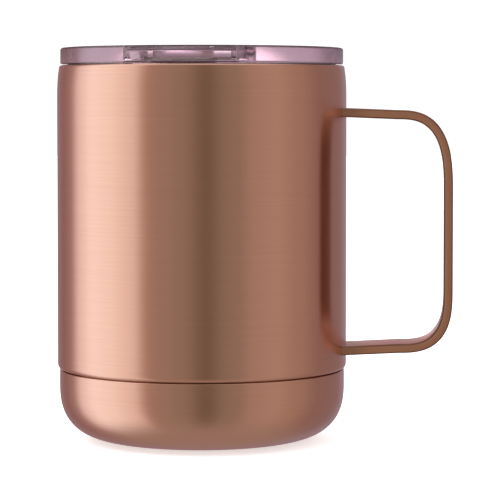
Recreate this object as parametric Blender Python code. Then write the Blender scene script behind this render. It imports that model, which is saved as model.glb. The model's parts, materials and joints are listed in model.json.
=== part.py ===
"""Double-walled insulated mug: strap handle, press-in lid, flip-up flap over the drinking hole.

The mug stands on Z = 0 with its axis on Z. The handle is towards +X. Lengths are in millimetres
and become metres where a mesh is made.
"""
import math

import bmesh
import bpy

MM = 0.001
ROUND_STEPS = 48              # sides of a turned piece
GAP = 0.3                     # air between two pieces that touch

# Outer wall
BODY_RADIUS = 44.0
RIM_TOP = 114.1
RIM_RADIUS = 43.45            # outside radius just under the rim
TAPER_START = 104.5           # the wall starts to draw in here
SEAM = 22.2                   # lower edge of the outer wall
SHELL_WALL = 0.5
SPIGOT_RADIUS = 42.3          # the part of the outer wall that the base cup hides
SPIGOT_BOTTOM = 14.5
LIP_RADIUS = 42.2             # where the outer wall ends against the liner

# Liner
LINER_RADIUS = 40.1           # outside
LINER_WALL = 0.5
LINER_FLOOR = 7.0
LINER_CORNER = (20.0, 18.0)
LEDGE_BOTTOM = 97.0
LEDGE_TOP = 103.0

# Pan that closes the vacuum space
PAN_WALL = 0.5
PAN_FLOOR = 3.0
PAN_TOP = 21.0
PAN_CORNER = (19.4, 16.4)
DIMPLE_RADIUS = 3.6
DIMPLE_DEPTH = 1.6
PORT_RADIUS = 0.8             # hole the air was drawn out through
GETTER_RADIUS = 5.0
GETTER_HEIGHT = 1.5
GETTER_OFFSET = 15.0

# Base cup and foot
CUP_RADIUS = 43.4
CUP_WALL = 0.6
CUP_BOTTOM = 0.4
CUP_CORNER = (20.0, 17.3)
CORNER_POWER = 2.6            # 2 is an ellipse, more is squarer
FOOT_RADIUS = 21.0
FOOT_HEIGHT = 1.2

# Handle
STRAP_WIDTH = 17.0
STRAP_THICKNESS = 2.75
STRAP_BEVEL = 0.35
STRAP_REACH = 74.9            # middle of the upright part, from the axis
UPPER_LEG = 99.85             # middle of the legs where they meet the wall
LOWER_LEG = 28.15
UPPER_SLOPE = -2.3            # degrees, outwards
LOWER_SLOPE = 3.0
UPPER_BEND = (15.6, 23.4)
LOWER_BEND = (15.0, 17.6)
BEND_POWER = 2.85
BEND_STEPS = 9

# Lid
LID_TURN = -3.6               # degrees the lid is turned from square
LID_RADIUS = 43.1
LID_TOP = 119.4
LID_WALL_INSIDE = 40.7
DECK_TOP = 113.9
DECK_BOTTOM = 111.7
PLUG_RADIUS = 40.8
PLUG_BOTTOM = 104.2
PLUG_INSIDE = 37.6
GROOVE = (107.2, 110.4)
GROOVE_RADIUS = 39.2
MOUTH_RADIUS = LIP_RADIUS - GAP - LINER_WALL
NOTCH_HALF = 16.6
NOTCH_INSIDE = 35.0           # the cut starts this far out, inside the rim's wall
NOTCH_FLOOR = 115.2
DRINK_CENTRE = 33.4           # from the axis towards the notch
DRINK_HALF_LENGTH = 8.0
DRINK_HALF_WIDTH = 3.0
VENT_RADIUS = 1.2
VENT_CENTRE = -28.0

# Flap
HINGE_OFFSET = 12.0           # from the axis towards the notch
HINGE_HEIGHT = 117.5
AXLE_RADIUS = 1.0
AXLE_HALF = 17.5
AXLE_HOLE = 1.2
BARREL_RADIUS = 1.8
EAR_INSIDE = 15.8
EAR_OUTSIDE = 17.8
EAR_HALF = 2.8
EAR_TOP = LID_TOP - 0.2
FLAP_HALF = 16.3               # half width of the front part
FLAP_REAR_HALF = 15.3          # half width between the ears
FLAP_SHOULDER = 16.5           # the wider front part starts here
FLAP_BOTTOM = NOTCH_FLOOR + GAP
FLAP_PLATE = 1.8
FLAP_WALL = 1.8
FLAP_REAR_WALL = 1.4
FLAP_APRON = 2.2              # thickness of the flap's front where it fills the notch
FLAP_ROUND = 1.1
BOSS_HEIGHT = 1.8
PAD_HALF_LENGTH = 10.0
PAD_HALF_WIDTH = 4.8
PAD_BOTTOM = DECK_TOP + GAP


def clear_scene():
    for item in list(bpy.data.objects):
        bpy.data.objects.remove(item, do_unlink=True)


def material(name, colour, roughness, metallic=0.0, transmission=0.0):
    made = bpy.data.materials.new(name)
    made.use_nodes = True
    shader = made.node_tree.nodes["Principled BSDF"]
    shader.inputs["Base Color"].default_value = (*colour, 1.0)
    shader.inputs["Roughness"].default_value = roughness
    shader.inputs["Metallic"].default_value = metallic
    shader.inputs["Transmission Weight"].default_value = transmission
    made.diffuse_color = (*colour, 1.0)
    return made


def place(name, bm, surface, parent=None):
    bmesh.ops.recalc_face_normals(bm, faces=bm.faces)
    mesh = bpy.data.meshes.new(name)
    bm.to_mesh(mesh)
    bm.free()
    mesh.shade_smooth()
    mesh.set_sharp_from_angle(angle=math.radians(32.0))
    thing = bpy.data.objects.new(name, mesh)
    thing.parent = parent
    bpy.context.collection.objects.link(thing)
    if surface:
        mesh.materials.append(surface)
    return thing


def modify(thing, name, bm, operation):
    """Cut, add or keep what the tool shape covers, and leave the tool as a hidden guide."""
    tool = place(name, bm, None, thing.parent)
    tool.location = thing.location
    tool.hide_render = True
    tool.display_type = "WIRE"
    step = thing.modifiers.new(name, "BOOLEAN")
    step.operation = operation
    step.solver = "EXACT"
    step.object = tool


def arc(centre_r, centre_z, across, up, start, end, steps, power=2.0):
    """Points on an ellipse, or a squarer curve where power is over 2, from start to end degrees."""
    points = []
    for index in range(steps + 1):
        angle = math.radians(start + (end - start) * index / steps)
        cosine, sine = math.cos(angle), math.sin(angle)
        r = abs(cosine) ** (2.0 / power) * math.copysign(across, cosine)
        z = abs(sine) ** (2.0 / power) * math.copysign(up, sine)
        points.append((centre_r + r, centre_z + z))
    return points


def walled(path, thickness):
    """The path, then the same path moved to its left by the wall's thickness, on the way back."""
    normals = []
    for (r0, z0), (r1, z1) in zip(path, path[1:]):
        length = math.hypot(r1 - r0, z1 - z0)
        normals.append((-(z1 - z0) / length, (r1 - r0) / length))
    inner = []
    for index, (r, z) in enumerate(path):
        before = normals[max(index - 1, 0)]
        after = normals[min(index, len(normals) - 1)]
        scale = thickness / (1.0 + before[0] * after[0] + before[1] * after[1])
        moved = r + scale * (before[0] + after[0])
        inner.append((0.0 if r == 0.0 else moved, z + scale * (before[1] + after[1])))
    return path + inner[::-1]


def turned(outline, steps=ROUND_STEPS):
    """Spin an outline about Z. One that starts and ends on the axis closes there."""
    bm = bmesh.new()
    points = [bm.verts.new((r * MM, 0.0, z * MM)) for r, z in outline]
    edges = [bm.edges.new(pair) for pair in zip(points, points[1:])]
    if outline[0][0] > 0.0:
        edges.append(bm.edges.new((points[-1], points[0])))
    bmesh.ops.spin(bm, geom=points + edges, cent=(0.0, 0.0, 0.0), axis=(0.0, 0.0, 1.0),
                   angle=math.tau, steps=steps, use_merge=True)
    bmesh.ops.remove_doubles(bm, verts=bm.verts, dist=1e-7)
    return bm


def prism(outline, low, high, axis="Z"):
    """Extrude a flat outline from low to high along Z, or an outline in Y and Z along X."""
    bm = bmesh.new()

    def point(a, b, c):
        return (a * MM, b * MM, c * MM) if axis == "Z" else (c * MM, a * MM, b * MM)

    base = bm.faces.new([bm.verts.new(point(a, b, low)) for a, b in outline])
    grown = bmesh.ops.extrude_face_region(bm, geom=[base])["geom"]
    tops = [item for item in grown if isinstance(item, bmesh.types.BMVert)]
    rise = (high - low) * MM
    move = (0.0, 0.0, rise) if axis == "Z" else (rise, 0.0, 0.0)
    bmesh.ops.translate(bm, verts=tops, vec=move)
    return bm


def oblong(half_length, half_width, centre_y, steps=8):
    """A slot along X with round ends."""
    straight = half_length - half_width
    right = arc(straight, centre_y, half_width, half_width, -90.0, 90.0, steps)
    left = arc(-straight, centre_y, half_width, half_width, 90.0, 270.0, steps)
    return right + left


def make_outer_shell(copper):
    path = [(SPIGOT_RADIUS, SPIGOT_BOTTOM), (SPIGOT_RADIUS, SEAM)]
    path += arc(43.0, SEAM + 1.6, BODY_RADIUS - 43.0, 1.6, -90.0, 0.0, 4)
    taper = 1.0
    rise = RIM_TOP - taper - TAPER_START
    for share in (0.0, 0.35, 0.65, 0.85, 1.0):
        path.append((BODY_RADIUS - (BODY_RADIUS - RIM_RADIUS) * share ** 2.4, TAPER_START + rise * share))
    path += arc(RIM_RADIUS - 0.7, RIM_TOP - taper, 0.7, taper, 0.0, 90.0, 4)[1:]
    path.append((LIP_RADIUS, RIM_TOP))
    place("outer_shell", turned(walled(path, SHELL_WALL)), copper)


def make_inner_liner(steel):
    across, up = LINER_CORNER
    path = [(0.0, LINER_FLOOR)]
    path += arc(LINER_RADIUS - across, LINER_FLOOR + up, across, up, -90.0, 0.0, 8, 2.4)
    path.append((LINER_RADIUS, LEDGE_BOTTOM))
    outside = MOUTH_RADIUS + LINER_WALL
    for share in (0.25, 0.5, 0.75, 1.0):
        swell = (1.0 - math.cos(math.pi * share)) / 2.0
        path.append((LINER_RADIUS + (outside - LINER_RADIUS) * swell,
                     LEDGE_BOTTOM + (LEDGE_TOP - LEDGE_BOTTOM) * share))
    path.append((outside, RIM_TOP))
    place("inner_liner", turned(walled(path, LINER_WALL)), steel)


def make_outer_bottom(steel):
    across, up = PAN_CORNER
    outside = SPIGOT_RADIUS - SHELL_WALL - GAP
    path = [(PORT_RADIUS, PAN_FLOOR + DIMPLE_DEPTH), (DIMPLE_RADIUS, PAN_FLOOR + DIMPLE_DEPTH),
            (DIMPLE_RADIUS + 1.0, PAN_FLOOR)]
    path += arc(outside - across, PAN_FLOOR + up, across, up, -90.0, 0.0, 7, CORNER_POWER)
    path.append((outside, PAN_TOP))
    place("outer_bottom", turned(walled(path, PAN_WALL)), steel)


def make_vacuum_seal(solder):
    top = PAN_FLOOR + DIMPLE_DEPTH - GAP
    path = [(0.0, top)] + arc(0.0, top, 2.9, 1.1, 0.0, -90.0, 5)
    place("vacuum_seal", turned(path, 24), solder)


def make_getter(grey):
    low = PAN_FLOOR + PAN_WALL + GAP
    high = low + GETTER_HEIGHT
    path = [(0.0, low), (GETTER_RADIUS - 0.4, low), (GETTER_RADIUS, low + 0.4),
            (GETTER_RADIUS, high), (0.0, high)]
    getter = place("getter", turned(path, 24), grey)
    getter.location.x = GETTER_OFFSET * MM


def make_base_cap(copper):
    across, up = CUP_CORNER
    recess = FOOT_HEIGHT + GAP
    path = [(0.0, recess), (FOOT_RADIUS + 0.4, recess), (FOOT_RADIUS + 0.7, CUP_BOTTOM)]
    path += arc(CUP_RADIUS - across, CUP_BOTTOM + up, across, up, -90.0, 0.0, 9, CORNER_POWER)
    top = SEAM - GAP
    path += [(CUP_RADIUS, top - 0.35), (CUP_RADIUS - 0.2, top)]
    place("base_cap", turned(walled(path, CUP_WALL)), copper)


def make_foot_pad(silicone):
    path = [(0.0, 0.0), (FOOT_RADIUS - 0.3, 0.0), (FOOT_RADIUS, 0.3), (FOOT_RADIUS, FOOT_HEIGHT),
            (0.0, FOOT_HEIGHT)]
    place("foot_pad", turned(path), silicone)


def strap_path():
    """The strap's middle line in X and Z, from the upper leg round to the lower leg."""
    start = BODY_RADIUS + GAP
    across, up = UPPER_BEND
    turn = STRAP_REACH - across
    leg = UPPER_LEG + (turn - start) * math.tan(math.radians(UPPER_SLOPE))
    path = [(start, UPPER_LEG)]
    path += arc(turn, leg - up, across, up, 90.0, 0.0, BEND_STEPS, BEND_POWER)
    across, up = LOWER_BEND
    turn = STRAP_REACH - across
    leg = LOWER_LEG + (turn - start) * math.tan(math.radians(LOWER_SLOPE))
    path += arc(turn, leg + up, across, up, 0.0, -90.0, BEND_STEPS, BEND_POWER)
    path.append((start, LOWER_LEG))
    return path


def strap_section():
    """Offsets across the strap: distance out from its middle, and Y."""
    half, side = STRAP_THICKNESS / 2.0, STRAP_WIDTH / 2.0
    flats = [(half, (side - STRAP_BEVEL) * share) for share in (-1.0, -0.5, 0.0, 0.5, 1.0)]
    edge = [(half - STRAP_BEVEL, side), (STRAP_BEVEL - half, side)]
    ring = flats + edge
    return ring + [(-out, -y) for out, y in ring]


def make_handle_strap(copper):
    bm = bmesh.new()
    path = strap_path()
    section = strap_section()
    rings = []
    for index, (x, z) in enumerate(path):
        before = path[max(index - 1, 0)]
        after = path[min(index + 1, len(path) - 1)]
        run, rise = after[0] - before[0], after[1] - before[1]
        length = math.hypot(run, rise)
        ring = []
        for out, y in section:
            px, pz = x - out * rise / length, z + out * run / length
            if index in (0, len(path) - 1):
                px = math.sqrt((BODY_RADIUS + GAP) ** 2 - y * y)
            ring.append(bm.verts.new((px * MM, y * MM, pz * MM)))
        rings.append(ring)
    count = len(section)
    for ring, following in zip(rings, rings[1:]):
        for index in range(count):
            other = (index + 1) % count
            bm.faces.new((ring[index], ring[other], following[other], following[index]))
    for ring in (rings[0], rings[-1]):
        over = [ring[-1]] + ring[:count // 2 - 1]
        under = ring[count // 2 - 1:count - 1][::-1]
        for index in range(len(over) - 1):
            bm.faces.new((over[index], over[index + 1], under[index + 1], under[index]))
    place("handle_strap", bm, copper)


def lid_axis():
    """The lid turns about the mug's axis, so its pieces hang on this empty."""
    axis = bpy.data.objects.new("lid_axis", None)
    axis.rotation_euler.z = math.radians(LID_TURN)
    bpy.context.collection.objects.link(axis)
    return axis


def make_lid_body(clear, axis):
    under = RIM_TOP + GAP
    path = [(0.0, DECK_BOTTOM)]
    path += arc(PLUG_INSIDE - 0.8, DECK_BOTTOM - 0.8, 0.8, 0.8, 90.0, 0.0, 3)
    path += [(PLUG_INSIDE, PLUG_BOTTOM + 0.4), (PLUG_INSIDE + 0.4, PLUG_BOTTOM),
             (PLUG_RADIUS - 0.6, PLUG_BOTTOM), (PLUG_RADIUS - 0.2, PLUG_BOTTOM + 0.4),
             (PLUG_RADIUS - 0.2, GROOVE[0]), (GROOVE_RADIUS, GROOVE[0]), (GROOVE_RADIUS, GROOVE[1]),
             (PLUG_RADIUS, GROOVE[1]), (PLUG_RADIUS, under)]
    path += arc(LID_RADIUS - 0.6, under + 0.6, 0.6, 0.6, -90.0, 0.0, 3)
    path += arc(LID_RADIUS - 0.7, LID_TOP - 0.7, 0.7, 0.7, 0.0, 90.0, 3)
    path += arc(LID_WALL_INSIDE + 0.5, LID_TOP - 0.5, 0.5, 0.5, 90.0, 180.0, 2)
    path += arc(LID_WALL_INSIDE - 0.7, DECK_TOP + 0.7, 0.7, 0.7, 0.0, -90.0, 3)
    path.append((0.0, DECK_TOP))
    lid = place("lid_body", turned(path), clear, axis)

    high = LID_TOP + 2.0
    notch = [(-NOTCH_HALF, -LID_RADIUS - 3.0), (NOTCH_HALF, -LID_RADIUS - 3.0),
             (NOTCH_HALF, -NOTCH_INSIDE), (-NOTCH_HALF, -NOTCH_INSIDE)]
    modify(lid, "notch_cutter", prism(notch, NOTCH_FLOOR, high), "DIFFERENCE")
    slot = oblong(DRINK_HALF_LENGTH, DRINK_HALF_WIDTH, -DRINK_CENTRE)
    modify(lid, "drink_cutter", prism(slot, DECK_BOTTOM - 2.0, DECK_TOP + 2.0), "DIFFERENCE")
    vent = arc(0.0, -VENT_CENTRE, VENT_RADIUS, VENT_RADIUS, 0.0, 345.0, 23)
    modify(lid, "vent_cutter", prism(vent, DECK_BOTTOM - 2.0, DECK_TOP + 2.0), "DIFFERENCE")

    low = (DECK_TOP + DECK_BOTTOM) / 2.0
    front, back = -HINGE_OFFSET - EAR_HALF, -HINGE_OFFSET + EAR_HALF
    ear = [(front, low), (back, low)]
    ear += arc(back - 1.2, EAR_TOP - 1.2, 1.2, 1.2, 0.0, 90.0, 3)
    ear += arc(front + 1.2, EAR_TOP - 1.2, 1.2, 1.2, 90.0, 180.0, 3)
    for side, near, far in (("left", -EAR_OUTSIDE, -EAR_INSIDE), ("right", EAR_INSIDE, EAR_OUTSIDE)):
        modify(lid, side + "_ear_shape", prism(ear, near, far, "X"), "UNION")
    bore = arc(-HINGE_OFFSET, HINGE_HEIGHT, AXLE_HOLE, AXLE_HOLE, 0.0, 345.0, 23)
    modify(lid, "axle_cutter", prism(bore, -EAR_OUTSIDE - 1.0, EAR_OUTSIDE + 1.0, "X"), "DIFFERENCE")


def make_lid_gasket(silicone, axis):
    low, high = GROOVE[0] + GAP, GROOVE[1] - GAP
    inside = GROOVE_RADIUS + GAP
    body = PLUG_RADIUS - 0.4
    tip = MOUTH_RADIUS - GAP
    path = [(inside, low), (body, low), (tip, low + 0.6), (tip, low + 0.85), (body, low + 1.0),
            (body, high - 1.0), (tip, high - 0.4), (tip, high - 0.15), (body, high), (inside, high)]
    place("lid_gasket", turned(path), silicone, axis)


def flap_outline(radius, half, rear_half, rear):
    """Plan of the flap: a front on the lid's own curve, narrower at the back, between the ears."""
    sweep = math.degrees(math.asin(half / radius))
    front = arc(0.0, 0.0, radius, radius, -90.0 - sweep, -90.0 + sweep, 12)
    side = [(half, rear_half - half - FLAP_SHOULDER), (rear_half, -FLAP_SHOULDER), (rear_half, -rear)]
    return front + side + [(-x, y) for x, y in side[::-1]]


def to_hinge(bm):
    """Move a shape from the lid's own frame to the hinge's."""
    shift = (0.0, HINGE_OFFSET * MM, -HINGE_HEIGHT * MM)
    bmesh.ops.translate(bm, verts=bm.verts, vec=shift)
    return bm


def round_front_top(bm):
    """Round the top edge of the flap's curved front."""
    front = [edge for edge in bm.edges
             if all(vert.co.z > (LID_TOP - 0.1) * MM and vert.co.y < -30.0 * MM for vert in edge.verts)]
    bmesh.ops.bevel(bm, geom=front, offset=FLAP_ROUND * MM, segments=3, profile=0.5, affect="EDGES")
    return bm


def make_flap(clear, hinge):
    solid = prism(flap_outline(LID_RADIUS, FLAP_HALF, FLAP_REAR_HALF, HINGE_OFFSET), FLAP_BOTTOM, LID_TOP)
    flap = place("flap", to_hinge(round_front_top(solid)), clear, hinge)
    hollow = flap_outline(LID_RADIUS - FLAP_APRON, FLAP_HALF - FLAP_WALL, FLAP_REAR_HALF - FLAP_REAR_WALL,
                          HINGE_OFFSET + 3.0)
    ceiling = LID_TOP - FLAP_PLATE
    modify(flap, "flap_hollow", to_hinge(prism(hollow, FLAP_BOTTOM - 2.0, ceiling)), "DIFFERENCE")
    boss = oblong(PAD_HALF_LENGTH - 1.2, PAD_HALF_WIDTH - 1.2, -DRINK_CENTRE)
    modify(flap, "flap_boss", to_hinge(prism(boss, ceiling - BOSS_HEIGHT, ceiling + 0.5)), "UNION")
    for name, radius, half in (("flap_barrel", BARREL_RADIUS, FLAP_REAR_HALF - 0.2),
                               ("flap_axle", AXLE_RADIUS, AXLE_HALF)):
        ring = arc(-HINGE_OFFSET, HINGE_HEIGHT, radius, radius, 0.0, 345.0, 23)
        modify(flap, name, to_hinge(prism(ring, -half, half, "X")), "UNION")


def make_flap_seal(silicone, hinge):
    outline = oblong(PAD_HALF_LENGTH, PAD_HALF_WIDTH, -DRINK_CENTRE)
    top = LID_TOP - FLAP_PLATE - BOSS_HEIGHT - GAP
    place("flap_seal", to_hinge(prism(outline, PAD_BOTTOM, top)), silicone, hinge)


def main():
    clear_scene()
    copper = material("copper_finish", (0.60, 0.33, 0.22), 0.34, metallic=1.0)
    steel = material("bare_steel", (0.62, 0.61, 0.60), 0.30, metallic=1.0)
    solder = material("seal_metal", (0.55, 0.54, 0.52), 0.45, metallic=1.0)
    grey = material("getter_grey", (0.16, 0.16, 0.17), 0.80)
    clear = material("tinted_clear", (0.62, 0.47, 0.56), 0.08, transmission=0.9)
    silicone = material("silicone", (0.72, 0.70, 0.70), 0.60)

    make_outer_shell(copper)
    make_inner_liner(steel)
    make_outer_bottom(steel)
    make_vacuum_seal(solder)
    make_getter(grey)
    make_base_cap(copper)
    make_foot_pad(silicone)
    make_handle_strap(copper)

    axis = lid_axis()
    make_lid_body(clear, axis)
    make_lid_gasket(silicone, axis)
    hinge = bpy.data.objects.new("flap_hinge_axis", None)
    hinge.parent = axis
    hinge.location = (0.0, -HINGE_OFFSET * MM, HINGE_HEIGHT * MM)
    bpy.context.collection.objects.link(hinge)
    make_flap(clear, hinge)
    make_flap_seal(silicone, hinge)


main()
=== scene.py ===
import json
import math

import bpy
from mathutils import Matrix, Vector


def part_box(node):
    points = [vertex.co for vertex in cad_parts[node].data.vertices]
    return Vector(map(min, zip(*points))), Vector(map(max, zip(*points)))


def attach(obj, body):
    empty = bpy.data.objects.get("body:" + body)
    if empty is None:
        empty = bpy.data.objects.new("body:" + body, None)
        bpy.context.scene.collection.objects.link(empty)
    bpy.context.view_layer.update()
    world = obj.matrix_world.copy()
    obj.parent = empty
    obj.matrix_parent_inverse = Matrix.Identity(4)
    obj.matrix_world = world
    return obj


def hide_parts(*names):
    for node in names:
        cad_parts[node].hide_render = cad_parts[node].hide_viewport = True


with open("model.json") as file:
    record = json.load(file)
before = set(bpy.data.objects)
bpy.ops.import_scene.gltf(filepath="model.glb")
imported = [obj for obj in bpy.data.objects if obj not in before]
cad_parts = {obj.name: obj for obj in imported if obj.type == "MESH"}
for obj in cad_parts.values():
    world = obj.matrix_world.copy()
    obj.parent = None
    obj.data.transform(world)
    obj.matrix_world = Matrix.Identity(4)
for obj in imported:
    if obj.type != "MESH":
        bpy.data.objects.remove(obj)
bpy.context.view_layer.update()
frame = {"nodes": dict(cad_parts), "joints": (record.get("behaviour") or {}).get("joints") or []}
print("frame loaded:", len(frame["nodes"]), "nodes")

mm = 0.001
airGap = 0.3    # millimetres between pieces that touch
scene = bpy.context.scene


# small helpers round the modelling operators

def pickOnly(piece):
    if bpy.context.object and bpy.context.object.mode != "OBJECT":
        bpy.ops.object.mode_set(mode="OBJECT")
    bpy.ops.object.select_all(action="DESELECT")
    piece.select_set(True)
    bpy.context.view_layer.objects.active = piece


def nameNew(name):
    piece = bpy.context.object
    piece.name = name
    piece.data.name = name
    return piece


def addRing(name, points):
    # a closed ring of edges through the points, in millimetres
    bpy.ops.object.select_all(action="DESELECT")
    bpy.ops.mesh.primitive_circle_add(vertices=len(points), radius=0.01, fill_type="NOTHING")
    piece = nameNew(name)
    for vertex, point in zip(piece.data.vertices, points):
        vertex.co = [value * mm for value in point]
    return piece


def smooth(piece, angle=32):
    pickOnly(piece)
    bpy.ops.object.shade_smooth_by_angle(angle=math.radians(angle))
    return piece


def turnPiece(name, outline, steps=192):
    # spin a closed outline of radius and height about the mug's axis
    piece = addRing(name, [(across, 0, up) for across, up in outline])
    pickOnly(piece)
    bpy.ops.object.mode_set(mode="EDIT")
    bpy.ops.mesh.select_all(action="SELECT")
    bpy.ops.mesh.spin(steps=steps, angle=math.tau, center=(0, 0, 0), axis=(0, 0, 1))
    bpy.ops.mesh.select_all(action="SELECT")
    bpy.ops.mesh.remove_doubles(threshold=0.002 * mm)
    bpy.ops.mesh.normals_make_consistent(inside=False)
    bpy.ops.object.mode_set(mode="OBJECT")
    return smooth(piece)


def slabPiece(name, outline, low, high):
    # a flat outline in X and Y raised from low to high
    piece = addRing(name, [(across, deep, low) for across, deep in outline])
    pickOnly(piece)
    bpy.ops.object.mode_set(mode="EDIT")
    bpy.ops.mesh.select_all(action="SELECT")
    bpy.ops.mesh.edge_face_add()
    bpy.ops.mesh.extrude_region_move(TRANSFORM_OT_translate={"value": (0, 0, (high - low) * mm)})
    bpy.ops.mesh.select_all(action="SELECT")
    bpy.ops.mesh.normals_make_consistent(inside=False)
    bpy.ops.object.mode_set(mode="OBJECT")
    return piece


def cylinderPiece(name, radius, length, place, axis="Z", vertices=48):
    turn = {"X": (0, math.radians(90), 0), "Y": (math.radians(90), 0, 0), "Z": (0, 0, 0)}[axis]
    bpy.ops.object.select_all(action="DESELECT")
    bpy.ops.mesh.primitive_cylinder_add(vertices=vertices, radius=radius * mm, depth=length * mm,
                                        location=[value * mm for value in place], rotation=turn)
    piece = nameNew(name)
    bpy.ops.object.transform_apply(location=True, rotation=True, scale=True)
    return piece


def boxPiece(name, low, high):
    bpy.ops.object.select_all(action="DESELECT")
    middle = [(a + b) / 2 * mm for a, b in zip(low, high)]
    bpy.ops.mesh.primitive_cube_add(size=1, location=middle,
                                    scale=[(b - a) * mm for a, b in zip(low, high)])
    piece = nameNew(name)
    bpy.ops.object.transform_apply(location=True, rotation=True, scale=True)
    return piece


def applyModifier(piece, kind, **settings):
    pickOnly(piece)
    step = piece.modifiers.new(kind.lower(), kind)
    for key, value in settings.items():
        setattr(step, key, value)
    bpy.ops.object.modifier_apply(modifier=step.name)
    return piece


def combine(piece, tool, operation):
    applyModifier(piece, "BOOLEAN", operation=operation, solver="EXACT", object=tool)
    bpy.data.objects.remove(tool, do_unlink=True)
    return piece


def roundEdges(piece, width, segments=3, angle=50):
    return applyModifier(piece, "BEVEL", width=width * mm, segments=segments, limit_method="ANGLE",
                         angle_limit=math.radians(angle), use_clamp_overlap=True, harden_normals=False)


def bevelWhere(piece, test, width, segments):
    # bevel the edges whose both ends pass the test
    pickOnly(piece)
    bpy.ops.object.mode_set(mode="EDIT")
    bpy.ops.mesh.select_mode(type="EDGE")
    bpy.ops.mesh.select_all(action="DESELECT")
    bpy.ops.object.mode_set(mode="OBJECT")
    for edge in piece.data.edges:
        edge.select = all(test(piece.data.vertices[index].co / mm) for index in edge.vertices)
    bpy.ops.object.mode_set(mode="EDIT")
    bpy.ops.mesh.bevel(offset=width * mm, segments=segments, affect="EDGES")
    bpy.ops.object.mode_set(mode="OBJECT")
    return piece


def settle(piece, body, node, material, turn=0.0):
    # turn the finished piece about the mug's axis, then hand it to its body
    pickOnly(piece)
    piece.rotation_euler.z = turn
    bpy.ops.object.transform_apply(location=True, rotation=True, scale=True)
    piece.data.materials.clear()
    piece.data.materials.append(material)
    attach(piece, body)
    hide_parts(node)
    return piece


# outlines are lists of radius and height in millimetres

def arc(acrossAt, upAt, across, up, start, end, steps, power=2.0):
    # an ellipse's points from start to end degrees, squarer where power is over 2
    points = []
    for index in range(steps + 1):
        angle = math.radians(start + (end - start) * index / steps)
        cosine, sine = math.cos(angle), math.sin(angle)
        points.append((acrossAt + math.copysign(abs(cosine) ** (2 / power) * across, cosine),
                       upAt + math.copysign(abs(sine) ** (2 / power) * up, sine)))
    return points


def sheetOutline(path, wall):
    # a path of sheet metal and its other face on the left, with a rolled far end
    normals = []
    for (r0, z0), (r1, z1) in zip(path, path[1:]):
        length = math.hypot(r1 - r0, z1 - z0)
        normals.append(((z0 - z1) / length, (r1 - r0) / length))
    inner = []
    for index, (r, z) in enumerate(path):
        before = normals[max(index - 1, 0)]
        after = normals[min(index, len(normals) - 1)]
        scale = wall / (1 + before[0] * after[0] + before[1] * after[1])
        across = 0 if r == 0 else r + scale * (before[0] + after[0])
        inner.append((across, z + scale * (before[1] + after[1])))
    (r0, z0), (r1, z1) = path[-1], inner[-1]
    ahead = (normals[-1][1], -normals[-1][0])
    roll = []
    for share in (0.25, 0.5, 0.75):
        lift = math.sin(math.pi * share) * wall / 2
        part = (1 - math.cos(math.pi * share)) / 2
        roll.append((r0 + (r1 - r0) * part + ahead[0] * lift, z0 + (z1 - z0) * part + ahead[1] * lift))
    return path + roll + inner[::-1]


def oblong(halfLength, halfWidth, centreY, steps=12):
    straight = halfLength - halfWidth
    return (arc(straight, centreY, halfWidth, halfWidth, -90, 90, steps)
            + arc(-straight, centreY, halfWidth, halfWidth, 90, 270, steps))


def reach(node):
    # a turned node's largest radius, lowest and highest point, in millimetres
    low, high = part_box(node)
    return high.x / mm, low.z / mm, high.z / mm


# shader building

def newMaterial(name, **settings):
    made = bpy.data.materials.new(name)
    made.use_nodes = True
    shader = made.node_tree.nodes["Principled BSDF"]
    for key, value in settings.items():
        shader.inputs[key].default_value = value
    return made, made.node_tree.nodes, made.node_tree.links, shader


def mathNode(nodes, links, operation, *values):
    # a math node fed by sockets or plain numbers
    node = nodes.new("ShaderNodeMath")
    node.operation = operation
    for entry, value in zip(node.inputs, values):
        if isinstance(value, (int, float)):
            entry.default_value = value
        else:
            links.new(value, entry)
    return node.outputs[0]


def towards(nodes, links, share, colour, tone):
    # the colour, moved towards a plain tone where share is 1
    mix = nodes.new("ShaderNodeMix")
    mix.data_type = "RGBA"
    mix.inputs["B"].default_value = (*tone, 1)
    links.new(share, mix.inputs["Factor"])
    links.new(colour, mix.inputs["A"])
    return mix.outputs["Result"]


# size, detail and weight of each layer of streaks
brushLook = {"layers": ((1.0, 3.0, 0.6), (0.23, 2.0, 0.4)), "noiseRoughness": 0.62, "cloudDetail": 2.0}


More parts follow.
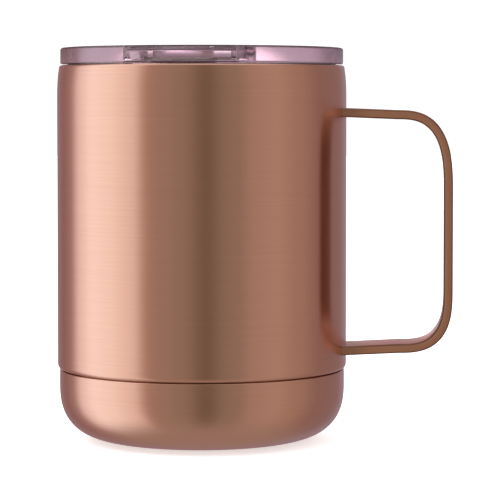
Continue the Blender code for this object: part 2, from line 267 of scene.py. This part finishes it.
def brushingGroup():
    # streaks of fine brushing, drawn out along the small components of Scale
    group = bpy.data.node_groups.new("fineBrushing", "ShaderNodeTree")
    for name, kind, start in (("Vector", "NodeSocketVector", None),
                              ("Scale", "NodeSocketVector", (60, 60, 9000)),
                              ("Blotch", "NodeSocketFloat", 40.0)):
        socket = group.interface.new_socket(name=name, in_out="INPUT", socket_type=kind)
        if start is not None:
            socket.default_value = start
    for name in ("Streak", "Cloud"):
        group.interface.new_socket(name=name, in_out="OUTPUT", socket_type="NodeSocketFloat")
    nodes, links = group.nodes, group.links
    enter, leave = nodes.new("NodeGroupInput"), nodes.new("NodeGroupOutput")
    stretch = nodes.new("ShaderNodeVectorMath")
    stretch.operation = "MULTIPLY"
    links.new(enter.outputs["Vector"], stretch.inputs[0])
    links.new(enter.outputs["Scale"], stretch.inputs[1])
    layers = []
    for size, detail, weight in brushLook["layers"]:
        noise = nodes.new("ShaderNodeTexNoise")
        noise.inputs["Scale"].default_value = size
        noise.inputs["Detail"].default_value = detail
        noise.inputs["Roughness"].default_value = brushLook["noiseRoughness"]
        links.new(stretch.outputs[0], noise.inputs["Vector"])
        layers.append(mathNode(nodes, links, "MULTIPLY", noise.outputs["Fac"], weight))
    links.new(mathNode(nodes, links, "ADD", *layers), leave.inputs["Streak"])
    cloud = nodes.new("ShaderNodeTexNoise")
    cloud.inputs["Detail"].default_value = brushLook["cloudDetail"]
    links.new(enter.outputs["Vector"], cloud.inputs["Vector"])
    links.new(enter.outputs["Blotch"], cloud.inputs["Scale"])
    links.new(cloud.outputs["Fac"], leave.inputs["Cloud"])
    return group


def ramp(nodes, stops, interpolation="EASE"):
    node = nodes.new("ShaderNodeValToRGB")
    node.color_ramp.interpolation = interpolation
    elements = node.color_ramp.elements
    while len(elements) < len(stops):
        elements.new(0.5)
    for element, (place, colour) in zip(elements, stops):
        element.position = place
        element.color = (*colour, 1)
    return node


def mapRange(nodes, links, source, low, high, fromLow=0.2, fromHigh=0.8, way="SMOOTHSTEP"):
    node = nodes.new("ShaderNodeMapRange")
    node.interpolation_type = way
    for key, value in (("From Min", fromLow), ("From Max", fromHigh), ("To Min", low), ("To Max", high)):
        node.inputs[key].default_value = value
    links.new(source, node.inputs["Value"])
    return node.outputs["Result"]


brushing = brushingGroup()


def strapPaintedShade(nodes, links, split, colour, look):
    # painted shade: darker along both side edges, towards the welded roots and inside the grip
    low, high = look["sides"]
    side = mathNode(nodes, links, "ABSOLUTE", split.outputs["Y"])
    share = mapRange(nodes, links, side, 0, 1, low * mm, high * mm, "LINEAR")
    places = [(place - low) / (high - low) for place in look["edgeSpan"]]
    band = ramp(nodes, [(place, (tone,) * 3) for place, tone in zip(places, (0, 1, 1, 0))], "LINEAR")
    links.new(share, band.inputs["Fac"])
    colour = towards(nodes, links, band.outputs["Color"], colour, look["edge"])
    near, far = look["root"]
    root = mapRange(nodes, links, split.outputs["X"], look["rootShare"], 0, near * mm, far * mm)
    colour = towards(nodes, links, root, colour, look["shade"])
    inside = nodes.new("ShaderNodeAttribute")
    inside.attribute_name = "inside"
    return towards(nodes, links, inside.outputs["Fac"], colour, look["shade"])


def seamPaintedShade(nodes, links, split, place, colour, look):
    # painted shade in the hidden neck and the narrow groove over the base cup, near the axis and low down
    flat = nodes.new("ShaderNodeVectorMath")
    flat.operation = "MULTIPLY"
    flat.inputs[1].default_value = (1, 1, 0)
    links.new(place, flat.inputs[0])
    across = nodes.new("ShaderNodeVectorMath")
    across.operation = "LENGTH"
    links.new(flat.outputs[0], across.inputs[0])
    near, far = look["span"]
    groove = mapRange(nodes, links, across.outputs["Value"], 1, 0, near * mm, far * mm, "LINEAR")
    low, high = look["heights"]
    under = mathNode(nodes, links, "LESS_THAN", split.outputs["Z"], high * mm)
    over = mathNode(nodes, links, "GREATER_THAN", split.outputs["Z"], low * mm)
    between = mathNode(nodes, links, "MULTIPLY", under, over)
    groove = mathNode(nodes, links, "MULTIPLY", groove, between)
    return towards(nodes, links, groove, colour, look["tone"])


def brushedMetal(name, look):
    made, nodes, links, shader = newMaterial(name, Metallic=1.0, Anisotropic=look["anisotropic"],
                                             **{"Anisotropic Rotation": look["rotation"]})
    place = nodes.new("ShaderNodeTexCoord")
    grain = nodes.new("ShaderNodeGroup")
    grain.node_tree = brushing
    grain.inputs["Scale"].default_value = look["scale"]
    grain.inputs["Blotch"].default_value = look["blotch"]
    links.new(place.outputs["Object"], grain.inputs["Vector"])
    start, end = look["toneSpan"]
    tones = ramp(nodes, ((start, look["dark"]), (end, look["light"])), "LINEAR")
    links.new(grain.outputs["Streak"], tones.inputs["Fac"])
    split = nodes.new("ShaderNodeSeparateXYZ")
    links.new(place.outputs["Object"], split.inputs[0])
    colour = tones.outputs["Color"]
    # painted shade on the strap's edges, roots and grip, and in the seam groove
    if look["strap"]:
        colour = strapPaintedShade(nodes, links, split, colour, look["strap"])
    if look["seam"]:
        colour = seamPaintedShade(nodes, links, split, place.outputs["Object"], colour, look["seam"])
    links.new(colour, shader.inputs["Base Color"])
    low, high = look["roughness"]
    links.new(mapRange(nodes, links, grain.outputs["Cloud"], low, high), shader.inputs["Roughness"])
    bump = nodes.new("ShaderNodeBump")
    bump.inputs["Strength"].default_value = look["bump"]
    bump.inputs["Distance"].default_value = look["bumpDepth"] * mm
    links.new(grain.outputs["Streak"], bump.inputs["Height"])
    links.new(bump.outputs["Normal"], shader.inputs["Normal"])
    if look["turned"]:
        tangent = nodes.new("ShaderNodeTangent")
        tangent.direction_type = "RADIAL"
        tangent.axis = "Z"
        links.new(tangent.outputs["Tangent"], shader.inputs["Tangent"])
    return made


# lengths in millimetres; strap and seam switch on the painted shade of those pieces
# the seam's tone is painted shade in the groove between wall and base cup
seamShadeLook = {"span": (42.6, 43.1), "heights": (13.0, 30.0), "tone": (0.42, 0.25, 0.17)}
# strapShade holds the painted shade on the strap's edges, roots and inner grip
strapShade = {"sides": (7.5, 8.5), "edgeSpan": (7.96, 8.04, 8.47, 8.497), "edge": (0.28, 0.15, 0.10),
              "root": (45.0, 53.0), "rootShare": 0.5, "shade": (0.42, 0.275, 0.195)}
copperLook = {"dark": (0.80, 0.52, 0.415), "light": (0.86, 0.57, 0.46), "toneSpan": (0.25, 0.75),
              "roughness": (0.225, 0.26), "anisotropic": 0.7, "rotation": 0.25, "scale": (60, 60, 9000),
              "blotch": 30.0, "bump": 0.12, "bumpDepth": 0.02, "turned": True, "strap": None,
              "seam": seamShadeLook}
strapLook = {**copperLook, "dark": (0.86, 0.52, 0.385), "light": (0.93, 0.56, 0.42), "scale": (60, 9000, 60),
             "roughness": (0.30, 0.36), "anisotropic": 0.0, "rotation": 0.0, "turned": False,
             "strap": strapShade, "seam": None}
linerLook = {**copperLook, "dark": (0.55, 0.54, 0.53), "light": (0.66, 0.65, 0.64), "scale": (40, 40, 5000),
             "roughness": (0.29, 0.35), "anisotropic": 0.6, "bump": 0.25, "seam": None}
copper = brushedMetal("copperFinish", copperLook)
strapCopper = brushedMetal("strapFinish", strapLook)
linerSteel = brushedMetal("linerSteel", linerLook)


def moulded(name, look):
    # moulded plastic or silicone: a faint mottle in its colour, gloss and surface
    made, nodes, links, shader = newMaterial(name, IOR=look["ior"],
                                             **{"Transmission Weight": look["transmission"]})
    place = nodes.new("ShaderNodeTexCoord")
    mottle = nodes.new("ShaderNodeTexNoise")
    mottle.inputs["Scale"].default_value = look["scale"]
    mottle.inputs["Detail"].default_value = look["detail"]
    links.new(place.outputs["Object"], mottle.inputs["Vector"])
    start, end = look["toneSpan"]
    tones = ramp(nodes, ((start, look["dark"]), (end, look["light"])), "LINEAR")
    links.new(mottle.outputs["Fac"], tones.inputs["Fac"])
    links.new(tones.outputs["Color"], shader.inputs["Base Color"])
    low, high = look["roughness"]
    links.new(mapRange(nodes, links, mottle.outputs["Fac"], low, high), shader.inputs["Roughness"])
    bump = nodes.new("ShaderNodeBump")
    bump.inputs["Strength"].default_value = look["bump"]
    bump.inputs["Distance"].default_value = look["bumpDepth"] * mm
    links.new(mottle.outputs["Fac"], bump.inputs["Height"])
    links.new(bump.outputs["Normal"], shader.inputs["Normal"])
    if "density" in look:
        depth = nodes.new("ShaderNodeVolumeAbsorption")
        depth.inputs["Color"].default_value = (*look["volume"], 1)
        depth.inputs["Density"].default_value = look["density"]
        links.new(depth.outputs["Volume"], nodes["Material Output"].inputs["Volume"])
    return made


mouldLook = {"toneSpan": (0.35, 0.65), "detail": 4.0}
clearLook = {**mouldLook, "dark": (0.84, 0.74, 0.80), "light": (0.88, 0.79, 0.85), "roughness": (0.05, 0.10),
             "transmission": 1.0, "ior": 1.49, "scale": 90.0, "bump": 0.1, "bumpDepth": 0.05,
             "volume": (0.66, 0.42, 0.60), "density": 14.0}
# painted light: the flap is a lighter, less absorbing copy of the lid's clear plastic, so it reads brighter
flapPaintedLightLook = {**clearLook, "dark": (0.93, 0.87, 0.91), "light": (0.96, 0.91, 0.94), "density": 5.0}
siliconeLook = {**mouldLook, "dark": (0.54, 0.51, 0.52), "light": (0.60, 0.57, 0.58),
                "roughness": (0.50, 0.62), "transmission": 0.0, "ior": 1.41, "scale": 700.0, "bump": 0.3,
                "bumpDepth": 0.03}
footLook = {**siliconeLook, "dark": (0.050, 0.045, 0.045), "light": (0.075, 0.070, 0.070),
            "roughness": (0.62, 0.75), "scale": 900.0, "bump": 0.4, "bumpDepth": 0.04}
getterLook = {**footLook, "dark": (0.12, 0.12, 0.13), "light": (0.20, 0.20, 0.21)}
clearMauve = moulded("clearMauve", clearLook)
flapPaintedLightMauve = moulded("flapPaintedLightMauve", flapPaintedLightLook)
paleSilicone = moulded("paleSilicone", siliconeLook)
footSilicone = moulded("footSilicone", footLook)
getterPowder = moulded("getterPowder", getterLook)
print("materials made")


# outer wall, with its neck for the base cup, its drawn-in top and its rolled rim

wallInfo = {"sheet": 0.5, "neckRadius": 42.3, "footRound": (1.0, 1.6), "taper": 9.0, "taperPower": 2.4,
            "taperSteps": 16, "rimRadius": 43.45, "rimRound": (0.7, 1.0), "lipRadius": 41.95}


def makeOuterWall():
    radius, low, high = reach("outer_shell")
    seam = reach("base_cap")[2] + airGap
    across, up = wallInfo["footRound"]
    path = [(wallInfo["neckRadius"], low), (wallInfo["neckRadius"], seam)]
    path += arc(radius - across, seam + up, across, up, -90, 0, 10)
    rim, steps = wallInfo["rimRadius"], wallInfo["taperSteps"]
    rimAcross, rimUp = wallInfo["rimRound"]
    start, end = high - rimUp - wallInfo["taper"], high - rimUp
    for index in range(steps + 1):
        share = index / steps
        narrowed = (radius - rim) * share ** wallInfo["taperPower"]
        path.append((radius - narrowed, start + (end - start) * share))
    path += arc(rim - rimAcross, end, rimAcross, rimUp, 0, 90, 8)[1:]
    path.append((wallInfo["lipRadius"], high))
    wall = turnPiece("outerWall", sheetOutline(path, wallInfo["sheet"]))
    return settle(wall, "mug", "outer_shell", copper)


# the recess for the foot disc steps out and down from the disc's radius
cupInfo = {"sheet": 0.6, "corner": (20.0, 17.3), "power": 2.6, "footRadius": 21.0, "topRound": 0.35,
           "recessOut": (0.3, 0.6, 0.8, 1.1), "recessEase": (0.2, 0.15)}


def makeBaseCup():
    radius, low, high = reach("base_cap")
    recess = reach("foot_pad")[2] + airGap
    across, up = cupInfo["corner"]
    turn = cupInfo["topRound"]
    out = [cupInfo["footRadius"] + step for step in cupInfo["recessOut"]]
    upperEase, lowerEase = cupInfo["recessEase"]
    path = [(0, recess), (out[0], recess), (out[1], recess - upperEase), (out[2], low + lowerEase),
            (out[3], low)]
    path += arc(radius - across, low + up, across, up, -90, 0, 48, cupInfo["power"])
    path += arc(radius - turn, high - turn, turn, turn, 0, 60, 4)
    cup = turnPiece("baseCup", sheetOutline(path, cupInfo["sheet"]))
    return settle(cup, "mug", "base_cap", copper)


linerInfo = {"sheet": 0.5, "corner": (20.0, 18.0), "power": 2.4, "radius": 40.1, "ledge": (97.0, 103.0),
             "ledgeSteps": 12}


def makeLiner():
    mouth, low, high = reach("inner_liner")
    across, up = linerInfo["corner"]
    radius = linerInfo["radius"]
    ledgeLow, ledgeHigh = linerInfo["ledge"]
    path = [(0, low)] + arc(radius - across, low + up, across, up, -90, 0, 32, linerInfo["power"])
    for index in range(linerInfo["ledgeSteps"] + 1):
        share = index / linerInfo["ledgeSteps"]
        swell = (1 - math.cos(math.pi * share)) / 2
        path.append((radius + (mouth - radius) * swell, ledgeLow + (ledgeHigh - ledgeLow) * share))
    path.append((mouth, high - linerInfo["sheet"] / 2))
    liner = turnPiece("innerLiner", sheetOutline(path, linerInfo["sheet"]))
    return settle(liner, "mug", "inner_liner", linerSteel)


footInfo = {"edge": 0.3, "grooves": (7.5, 14.0), "grooveWidth": 1.2, "grooveDepth": 0.35, "grooveFloor": 0.7}


def makeFootDisc():
    radius, low, high = reach("foot_pad")
    edge = footInfo["edge"]
    half, depth = footInfo["grooveWidth"] / 2, footInfo["grooveDepth"]
    floor = half * footInfo["grooveFloor"]
    path = [(0, low)]
    for middle in footInfo["grooves"]:
        path += [(middle - half, low), (middle - floor, low + depth), (middle + floor, low + depth),
                 (middle + half, low)]
    path += arc(radius - edge, low + edge, edge, edge, -90, 0, 5)
    path += [(radius, high), (0, high)]
    disc = turnPiece("footDisc", path, steps=128)
    return settle(disc, "mug", "foot_pad", footSilicone)


makeOuterWall()
makeBaseCup()
makeLiner()
makeFootDisc()
print("mug body turned")


# handle: a flat strap bent into a D, its ends butted to the wall

strapInfo = {"thickness": 2.75, "round": 0.5, "upperBend": (15.6, 23.4), "lowerBend": (15.0, 17.6),
             "power": 2.85, "bendSteps": 26, "upperSlope": -2.3, "lowerSlope": 3.0, "rootRadius": 43.85,
             "rootDepth": 3.0, "insideTurn": (0.5, 0.85), "insideFrom": 50.0}


def strapLine():
    # the middle of the strap in X and Z, from the upper root round to the lower one
    low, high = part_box("handle_strap")
    wall = reach("outer_shell")[0]
    half, depth = strapInfo["thickness"] / 2, strapInfo["rootDepth"]
    line = []
    for sign, end, bend in ((1, high.z / mm - half, "upperBend"), (-1, low.z / mm + half, "lowerBend")):
        across, up = strapInfo[bend]
        turn = high.x / mm - half - across
        slope = math.tan(math.radians(strapInfo["upperSlope" if sign > 0 else "lowerSlope"]))
        knee = end + (turn - wall) * slope
        leg = [(wall - depth, end - depth * slope), (wall + (turn - wall) / 2, (end + knee) / 2)]
        bent = arc(turn, knee - sign * up, across, up, 90, 0, strapInfo["bendSteps"], strapInfo["power"])
        if sign < 0:
            middle = knee + up
            bent = [(across, 2 * middle - height) for across, height in bent]
        line.append(leg + bent)
    return line[0] + line[1][::-1]


def makeStrap():
    low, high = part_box("handle_strap")
    line = strapLine()
    bpy.ops.object.select_all(action="DESELECT")
    bpy.ops.mesh.primitive_plane_add(size=1 * mm)
    strap = nameNew("handleStrap")
    for vertex in strap.data.vertices:
        x, z = line[0] if vertex.co.x < 0 else line[1]
        vertex.co = (x * mm, low.y if vertex.co.y < 0 else high.y, z * mm)
    far = line[1][0] * mm    # the edge that is drawn out along the line
    bpy.ops.object.mode_set(mode="EDIT")
    bpy.ops.mesh.select_mode(type="EDGE")
    bpy.ops.mesh.select_all(action="DESELECT")
    bpy.ops.object.mode_set(mode="OBJECT")
    for edge in strap.data.edges:
        edge.select = all(abs(strap.data.vertices[index].co.x - far) < 1e-6 for index in edge.vertices)
    bpy.ops.object.mode_set(mode="EDIT")
    for (x0, z0), (x1, z1) in zip(line[1:], line[2:]):
        bpy.ops.mesh.extrude_region_move(
            TRANSFORM_OT_translate={"value": ((x1 - x0) * mm, 0, (z1 - z0) * mm)})
    bpy.ops.object.mode_set(mode="OBJECT")
    applyModifier(strap, "SOLIDIFY", thickness=strapInfo["thickness"] * mm, offset=0, use_even_offset=True)
    roundEdges(strap, strapInfo["round"], segments=4, angle=60)
    core = cylinderPiece("rootCut", strapInfo["rootRadius"], 200, (0, 0, 60), vertices=192)
    combine(strap, core, "DIFFERENCE")
    smooth(strap, 35)
    # mark the faces that look into the grip, for the painted shade there
    inside = strap.data.attributes.new("inside", "FLOAT", "POINT")
    start, full = strapInfo["insideTurn"]
    for vertex in strap.data.vertices:
        facing = (-vertex.normal.x - start) / (full - start)
        marked = vertex.co.x > strapInfo["insideFrom"] * mm
        inside.data[vertex.index].value = min(max(facing, 0.0), 1.0) if marked else 0.0
    return settle(strap, "mug", "handle_strap", strapCopper)


makeStrap()
print("handle bent")


# lid: turned, then notched, pierced and given its hinge ears

hinge = [joint for joint in frame["joints"] if joint["name"] == "flap_hinge"][0]
lidTurn = math.atan2(-hinge["axis"][1], -hinge["axis"][0])
hingeOut = math.hypot(hinge["pos_m"][0], hinge["pos_m"][1]) / mm
hingeUp = hinge["pos_m"][2] / mm

# drink is distance out, half length and half width; vent is distance back and radius
lidInfo = {"wallInside": 40.7, "deckTop": 113.9, "deckBottom": 111.7, "deckRound": 0.8, "plug": 40.8,
           "plugInside": 37.6, "plugStep": 0.2, "tipRound": (0.4, 0.5), "groove": (107.2, 110.4),
           "grooveRadius": 39.2, "under": 114.4, "lowerRound": 0.6, "upperRound": 0.7, "innerRound": 0.6,
           "trayRound": 0.7, "notchHalf": 16.6, "notchInside": 35.0, "notchFloor": 115.2,
           "drink": (33.4, 8.0, 3.0), "vent": (28.0, 1.2), "ventCut": 9.0, "ear": (15.8, 17.8),
           "earHalf": 2.8, "earDrop": 0.2, "earRound": 0.9, "axleHole": 1.2, "notchOver": 3.0,
           "holeOver": 2.0}


def lidReach():
    # the rim's radius and the lid's highest point, in millimetres
    low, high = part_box("lid_body")
    return -low.x / mm, high.z / mm


def lidOutline():
    info = lidInfo
    rim, high = lidReach()
    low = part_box("lid_body")[0].z / mm
    deck, tray = info["deckRound"], info["trayRound"]
    innerTip, outerTip = info["tipRound"]
    step = info["plug"] - info["plugStep"]
    path = [(0, info["deckBottom"])]
    path += arc(info["plugInside"] - deck, info["deckBottom"] - deck, deck, deck, 90, 0, 6)
    path += arc(info["plugInside"] + innerTip, low + innerTip, innerTip, innerTip, 180, 270, 4)
    path += arc(step - outerTip, low + outerTip, outerTip, outerTip, 270, 360, 4)
    grooveLow, grooveHigh = info["groove"]
    path += [(step, grooveLow), (info["grooveRadius"], grooveLow), (info["grooveRadius"], grooveHigh),
             (info["plug"], grooveHigh), (info["plug"], info["under"])]
    lower, upper, inner = info["lowerRound"], info["upperRound"], info["innerRound"]
    path += arc(rim - lower, info["under"] + lower, lower, lower, -90, 0, 8)
    path += arc(rim - upper, high - upper, upper, upper, 0, 90, 8)
    path += arc(info["wallInside"] + inner, high - inner, inner, inner, 90, 180, 8)
    path += arc(info["wallInside"] - tray, info["deckTop"] + tray, tray, tray, 0, -90, 6)
    return path + [(0, info["deckTop"])]


def makeLid():
    # every cutter runs a little past the faces that it cuts
    info = lidInfo
    rim, high = lidReach()
    lid = turnPiece("lidBody", lidOutline())
    half, over = info["notchHalf"], info["notchOver"]
    notch = boxPiece("notchCut", (-half, -rim - over, info["notchFloor"]),
                     (half, -info["notchInside"], high + over))
    combine(lid, notch, "DIFFERENCE")
    over = info["holeOver"]
    out, halfLength, halfWidth = info["drink"]
    slotCut = slabPiece("drinkCut", oblong(halfLength, halfWidth, -out), info["deckBottom"] - over,
                        info["deckTop"] + over)
    combine(lid, slotCut, "DIFFERENCE")
    back, ventRadius = info["vent"]
    vent = cylinderPiece("ventCut", ventRadius, info["ventCut"], (0, back, info["deckTop"]))
    combine(lid, vent, "DIFFERENCE")
    near, far = info["ear"]
    root = (info["deckTop"] + info["deckBottom"]) / 2
    for side in (-1, 1):
        ends = sorted((side * near, side * far))
        ear = boxPiece("earShape", (ends[0], -hingeOut - info["earHalf"], root),
                       (ends[1], -hingeOut + info["earHalf"], high - info["earDrop"]))
        bevelWhere(ear, lambda point: point.z > high - 1, info["earRound"], 5)
        combine(lid, ear, "UNION")
    bore = cylinderPiece("boreCut", info["axleHole"], 2 * (far + over), (0, -hingeOut, hingeUp), "X")
    combine(lid, bore, "DIFFERENCE")
    smooth(lid, 32)
    return settle(lid, "lid", "lid_body", clearMauve, lidTurn)


# each lip rises lipHeight up the ring, with its round tip in the middle of it
gasketInfo = {"body": 40.4, "fit": 0.1, "lipHeight": 1.0, "topInset": 1.1, "tipMiddle": 0.65,
              "tip": (0.15, 0.2)}


def makeGasket():
    radius, low, high = reach("lid_gasket")
    inside, body = lidInfo["grooveRadius"] + gasketInfo["fit"], gasketInfo["body"]
    across, up = gasketInfo["tip"]
    path = [(inside, low)]
    for base in (low, high - gasketInfo["topInset"]):
        path.append((body, base))
        path += arc(radius - across, base + gasketInfo["tipMiddle"], across, up, -90, 90, 6)
        path.append((body, base + gasketInfo["lipHeight"]))
    path += [(body, high), (inside, high)]
    ring = turnPiece("lidGasket", path)
    return settle(ring, "lid_seal", "lid_gasket", paleSilicone)


makeLid()
makeGasket()
print("lid made")


# flap: a hinged plate whose front fills the notch in the rim

flapInfo = {"half": 16.3, "rearHalf": 15.3, "shoulder": 16.5, "bottom": 115.5, "plate": 1.8, "wall": 1.8,
            "rearWall": 1.4, "apron": 2.2, "frontFrom": 35.0, "frontRound": 1.1, "hollowOver": (3.0, 2.0),
            "boss": 1.8, "bossInset": 1.2, "bossSink": 0.5, "padHalf": (10.0, 4.8), "padRound": 0.3,
            "barrel": 1.8, "barrelInset": 0.2, "axle": 1.0, "axleHalf": 17.5}


def flapOutline(radius, half, rearHalf, shoulder, rear, steps=24):
    sweep = math.degrees(math.asin(half / radius))
    front = arc(0, 0, radius, radius, -90 - sweep, -90 + sweep, steps)
    side = [(half, -shoulder - (half - rearHalf)), (rearHalf, -shoulder), (rearHalf, -rear)]
    return front + side + [(-across, deep) for across, deep in side[::-1]]


def makeFlap():
    info = flapInfo
    rim, top = lidReach()
    flap = slabPiece("lidFlap", flapOutline(rim, info["half"], info["rearHalf"], info["shoulder"], hingeOut),
                     info["bottom"], top)
    bevelWhere(flap, lambda point: point.z > top - 0.1 and point.y < -info["frontFrom"],
               info["frontRound"], 6)
    overBack, overDown = info["hollowOver"]
    ceiling = top - info["plate"]
    inner = flapOutline(rim - info["apron"], info["half"] - info["wall"],
                        info["rearHalf"] - info["rearWall"], info["shoulder"], hingeOut + overBack)
    combine(flap, slabPiece("hollowCut", inner, info["bottom"] - overDown, ceiling), "DIFFERENCE")
    halfLength, halfWidth = [half - info["bossInset"] for half in info["padHalf"]]
    boss = slabPiece("bossShape", oblong(halfLength, halfWidth, -lidInfo["drink"][0]),
                     ceiling - info["boss"], ceiling + info["bossSink"])
    combine(flap, boss, "UNION")
    for radius, half in ((info["barrel"], info["rearHalf"] - info["barrelInset"]),
                         (info["axle"], info["axleHalf"])):
        rod = cylinderPiece("rodShape", radius, 2 * half, (0, -hingeOut, hingeUp), "X")
        combine(flap, rod, "UNION")
    smooth(flap, 32)
    return settle(flap, "flap", "flap", flapPaintedLightMauve, lidTurn)


def makeFlapPad():
    low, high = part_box("flap_seal")
    halfLength, halfWidth = flapInfo["padHalf"]
    pad = slabPiece("flapPad", oblong(halfLength, halfWidth, -lidInfo["drink"][0]), low.z / mm, high.z / mm)
    roundEdges(pad, flapInfo["padRound"])
    smooth(pad, 32)
    return settle(pad, "flap", "flap_seal", paleSilicone, lidTurn)


makeFlap()
makeFlapPad()
print("flap made")


# the sealed parts between the walls keep their CAD shapes

for node, material in (("outer_bottom", linerSteel), ("vacuum_seal", linerSteel), ("getter", getterPowder)):
    sealed = frame["nodes"][node]
    sealed.data.materials.clear()
    sealed.data.materials.append(material)
print("sealed parts finished")


# floor, light and camera

floorLook = {"size": 8.0, "colour": (0.90, 0.90, 0.91), "roughness": 0.85, "glow": 0.55}


def makeFloor():
    bpy.ops.object.select_all(action="DESELECT")
    bpy.ops.mesh.primitive_plane_add(size=floorLook["size"])
    floor = nameNew("studioFloor")
    made, nodes, links, shader = newMaterial("paleFloor", Roughness=floorLook["roughness"])
    shader.inputs["Base Color"].default_value = (*floorLook["colour"], 1)
    shader.inputs["Specular IOR Level"].default_value = 0.0
    shader.inputs["Emission Color"].default_value = (1, 1, 1, 1)
    shader.inputs["Emission Strength"].default_value = floorLook["glow"]
    floor.data.materials.append(made)
    floor.visible_glossy = False
    floor.visible_transmission = False
    return floor


# brightness round the mug by compass angle, from the camera's side: minus is to the left
roomBands = ((-180, (0.36, 0.26, 0.30)), (-160, (0.32, 0.21, 0.22)),
             (-142, (0.286, 0.171, 0.177)), (-127, (0.389, 0.25, 0.24)), (-112, (0.996, 0.893, 0.91)),
             (-97, (1.19, 1.163, 1.187)), (-80, (1.128, 1.061, 1.026)), (-58, (0.956, 0.822, 0.767)),
             (-43, (0.411, 0.282, 0.225)), (-30, (0.36, 0.274, 0.233)), (-16, (0.321, 0.253, 0.202)),
             (4, (0.185, 0.135, 0.096)), (18, (0.292, 0.236, 0.187)), (28, (0.314, 0.247, 0.202)),
             (42, (0.439, 0.32, 0.271)), (62, (0.475, 0.355, 0.292)), (82, (0.401, 0.287, 0.232)),
             (108, (0.294, 0.197, 0.184)), (140, (0.282, 0.197, 0.206)), (158, (0.33, 0.27, 0.319)),
             (180, (0.36, 0.26, 0.30)))
# glow and core are a lit patch behind the mug, seen through the clear lid: their spans are cosines of the
# angle from straight behind, and the other spans are heights of a direction
roomLook = {"turn": 5.5, "glow": (0.62, 0.51, 0.56), "glowSpan": (0.978, 0.990), "core": (2.2, 1.8, 1.9),
            "coreSpan": (0.9969, 0.9994), "levelSpan": (-0.25, -0.12), "above": (0.80, 0.70, 0.72),
            "aboveSpan": (0.6, 0.95), "below": (0.38, 0.29, 0.255), "belowSpan": (-0.5, -0.95),
            "seen": 1.1, "fill": 1.25}


def makeRoom():
    world = bpy.data.worlds.new("studio")
    scene.world = world
    world.use_nodes = True
    nodes, links = world.node_tree.nodes, world.node_tree.links
    nodes.clear()
    place = nodes.new("ShaderNodeTexCoord")
    split = nodes.new("ShaderNodeSeparateXYZ")
    links.new(place.outputs["Generated"], split.inputs[0])
    turn = math.radians(roomLook["turn"])

    # the bands stand round the mug by compass angle
    forward = mathNode(nodes, links, "MULTIPLY", split.outputs["Y"], -1)
    compass = mathNode(nodes, links, "ARCTAN2", split.outputs["X"], forward)
    turned = mathNode(nodes, links, "SUBTRACT", compass, turn)
    wrapped = mathNode(nodes, links, "WRAP", turned, math.pi, -math.pi)
    share = mapRange(nodes, links, wrapped, 0, 1, -math.pi, math.pi, "LINEAR")
    bands = ramp(nodes, [((angle + 180) / 360, colour) for angle, colour in roomBands])
    links.new(share, bands.inputs["Fac"])

    # the lit patch behind, then the plain tones overhead and underneath
    facing = nodes.new("ShaderNodeVectorMath")
    facing.operation = "DOT_PRODUCT"
    facing.inputs[1].default_value = (-math.sin(turn), math.cos(turn), 0)
    links.new(place.outputs["Generated"], facing.inputs[0])
    level = mapRange(nodes, links, split.outputs["Z"], 0, 1, *roomLook["levelSpan"])
    layers = bands.outputs["Color"]
    for name in ("glow", "core"):
        behind = mapRange(nodes, links, facing.outputs["Value"], 0, 1, *roomLook[name + "Span"])
        patch = mathNode(nodes, links, "MULTIPLY", behind, level)
        layers = towards(nodes, links, patch, layers, roomLook[name])
    for name in ("above", "below"):
        mask = mapRange(nodes, links, split.outputs["Z"], 0, 1, *roomLook[name + "Span"])
        layers = towards(nodes, links, mask, layers, roomLook[name])
    room = nodes.new("ShaderNodeBackground")
    links.new(layers, room.inputs["Color"])

    # straight camera rays see plain white, and matt surfaces are lit by it
    plain = nodes.new("ShaderNodeBackground")
    plain.inputs["Color"].default_value = (1, 1, 1, 1)
    path = nodes.new("ShaderNodeLightPath")
    diffuse = path.outputs["Is Diffuse Ray"]
    strength = mapRange(nodes, links, diffuse, roomLook["seen"], roomLook["fill"], 0, 1, "LINEAR")
    links.new(strength, plain.inputs["Strength"])
    straight = mathNode(nodes, links, "SUBTRACT", path.outputs["Is Camera Ray"],
                        path.outputs["Is Transmission Ray"])
    either = mathNode(nodes, links, "MAXIMUM", straight, diffuse)
    chosen = nodes.new("ShaderNodeMixShader")
    links.new(either, chosen.inputs["Fac"])
    links.new(room.outputs[0], chosen.inputs[1])
    links.new(plain.outputs[0], chosen.inputs[2])
    leave = nodes.new("ShaderNodeOutputWorld")
    links.new(chosen.outputs[0], leave.inputs["Surface"])


keyLook = {"place": (-0.55, -0.35, 0.70), "aim": (0, 0, 0.05), "size": 0.5, "energy": 2.0}


def makeKeyLight():
    bpy.ops.object.light_add(type="AREA", location=keyLook["place"])
    key = bpy.context.object
    key.name = "keySoftbox"
    key.data.size = keyLook["size"]
    key.data.energy = keyLook["energy"]
    key.visible_glossy = False
    aim = bpy.data.objects.new("keyAim", None)
    scene.collection.objects.link(aim)
    aim.location = keyLook["aim"]
    track = key.constraints.new("TRACK_TO")
    track.target = aim


cameraLook = {"lens": 167.9, "distance": 0.7113, "height": 0.10197, "azimuth": 5.5, "yaw": 1.18,
              "pitch": 2.354, "shift": -0.0972, "sensor": 36, "nearest": 0.01}


def makeCamera():
    look = cameraLook
    side = math.radians(look["azimuth"])
    place = (look["distance"] * math.sin(side), -look["distance"] * math.cos(side), look["height"])
    turn = (math.radians(90 - look["pitch"]), 0, math.radians(look["azimuth"] - look["yaw"]))
    bpy.ops.object.camera_add(location=place, rotation=turn)
    camera = bpy.context.object
    camera.name = "productCamera"
    camera.data.lens = look["lens"]
    camera.data.sensor_width = look["sensor"]
    camera.data.shift_y = look["shift"]
    camera.data.clip_start = look["nearest"]
    scene.camera = camera


makeFloor()
makeRoom()
makeKeyLight()
makeCamera()
scene.view_settings.view_transform = "Standard"
print("stage and camera set")
